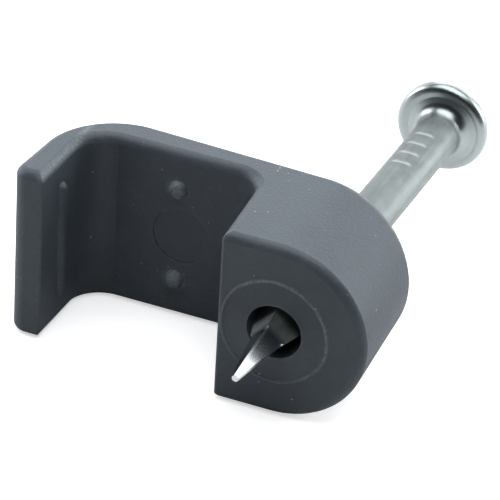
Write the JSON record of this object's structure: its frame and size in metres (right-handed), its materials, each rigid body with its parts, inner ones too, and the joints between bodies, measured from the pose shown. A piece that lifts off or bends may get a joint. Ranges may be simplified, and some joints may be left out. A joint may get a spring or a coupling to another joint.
{
  "type": "nail-in cable clip",
  "caption": "Moulded hook-shaped clip for flat cable, with a steel nail started through its block that fixes the clip and cable to a wall.",
  "frame": {"origin": "on the nail's axis, in the plane of the block's wall face, at the middle of the clip's width", "axes": "+Y along the nail from the wall to its head, +X from the hook's leg to the nail block, +Z along the cable"},
  "size_m": [0.0204, 0.0299, 0.01],
  "materials": {
    "plastic": "moulded matte dark grey",
    "steel": "bright zinc plate"
  },
  "bodies": {
    "clip": {"clip_body": "plastic"},
    "nail": {"nail": "steel"}
  },
  "joints": [
    {"name": "nail_drive", "type": "slide", "parent": "clip", "child": "nail", "axis": [0, -1, 0], "range_m": [0, 0.015]}
  ]
}
